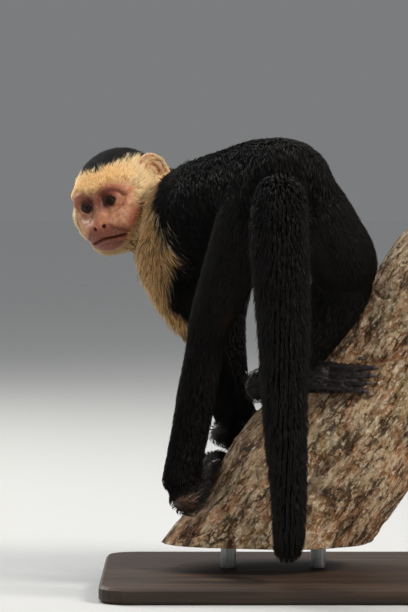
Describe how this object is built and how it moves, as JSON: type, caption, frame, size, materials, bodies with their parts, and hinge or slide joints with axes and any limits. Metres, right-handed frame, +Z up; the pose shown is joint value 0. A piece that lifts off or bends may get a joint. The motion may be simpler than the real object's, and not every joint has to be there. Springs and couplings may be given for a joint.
{
  "type": "capuchin monkey model",
  "caption": "Life-size still model of a white-faced capuchin that stands on a sloping branch and looks back over its shoulder, its tail hanging, on a flat display stand.",
  "frame": {"origin": "middle of the underside of the stand's base", "axes": "+Z up; the rump faces -Y, the view of the picture; the animal looks back to -X and -Y over its left shoulder; the branch climbs towards +X"},
  "size_m": [0.4204, 0.3433, 0.3978],
  "materials": {
    "base_wood": "satin",
    "rod_steel": "satin",
    "bark": "rough flaky bark",
    "coat_black": "black fur",
    "coat_cream": "cream fur",
    "skin_ear": "bare pink skin",
    "skin_paw": "bare dark skin",
    "eye_brown": "polished"
  },
  "bodies": {
    "root": {"stand_base": "base_wood", "stand_rod_1": "rod_steel", "stand_rod_2": "rod_steel", "branch": "bark", "head": "coat_cream", "eye_L": "eye_brown", "eye_R": "eye_brown", "ear_L": "skin_ear", "ear_R": "skin_ear", "neck": "coat_cream", "trunk_rump": "coat_black", "trunk_loin": "coat_black", "trunk_chest": "coat_black", "tail_1": "coat_black", "tail_2": "coat_black", "tail_3": "coat_black", "tail_4": "coat_black", "thigh_L": "coat_black", "shank_L": "coat_black", "foot_L": "skin_paw", "upper_arm_L": "coat_cream", "forearm_L": "coat_black", "hand_L": "skin_paw", "thigh_R": "coat_black", "shank_R": "coat_black", "foot_R": "skin_paw", "upper_arm_R": "coat_cream", "forearm_R": "coat_black", "hand_R": "skin_paw"}
  },
  "joints": []
}
